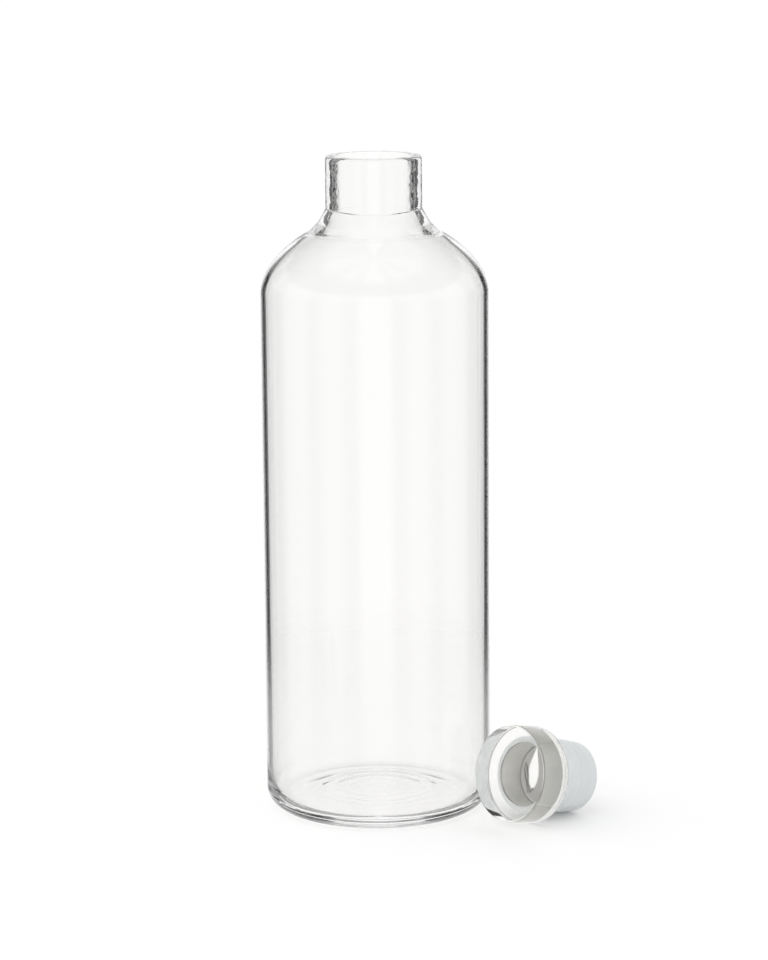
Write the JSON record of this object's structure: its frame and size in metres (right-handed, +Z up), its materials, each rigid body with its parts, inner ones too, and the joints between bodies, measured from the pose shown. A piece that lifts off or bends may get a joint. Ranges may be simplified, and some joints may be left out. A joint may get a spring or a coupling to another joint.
{
  "type": "glass water bottle with stopper",
  "caption": "Tall clear glass water bottle with a short straight neck, and a loose glass stopper with a frosted sealing sleeve lying beside it.",
  "frame": {"origin": "centre of the bottle's base, on the surface that it stands on", "axes": "+Z up the bottle's axis towards its mouth; the loose stopper lies at +X and -Y of the bottle"},
  "size_m": [0.1241, 0.0914, 0.246],
  "materials": {
    "bottle_glass": "polished blown glass",
    "stopper_glass": "polished solid glass",
    "sleeve_silicone": "translucent frosted silicone"
  },
  "bodies": {
    "bottle": {"bottle": "bottle_glass"},
    "stopper": {"glass_stopper": "stopper_glass", "sealing_sleeve": "sleeve_silicone"}
  },
  "joints": [
    {"name": "stopper_lift", "type": "slide", "parent": "bottle", "child": "stopper", "axis": [0, 0, 1], "range_m": [0, 0.28]}
  ]
}
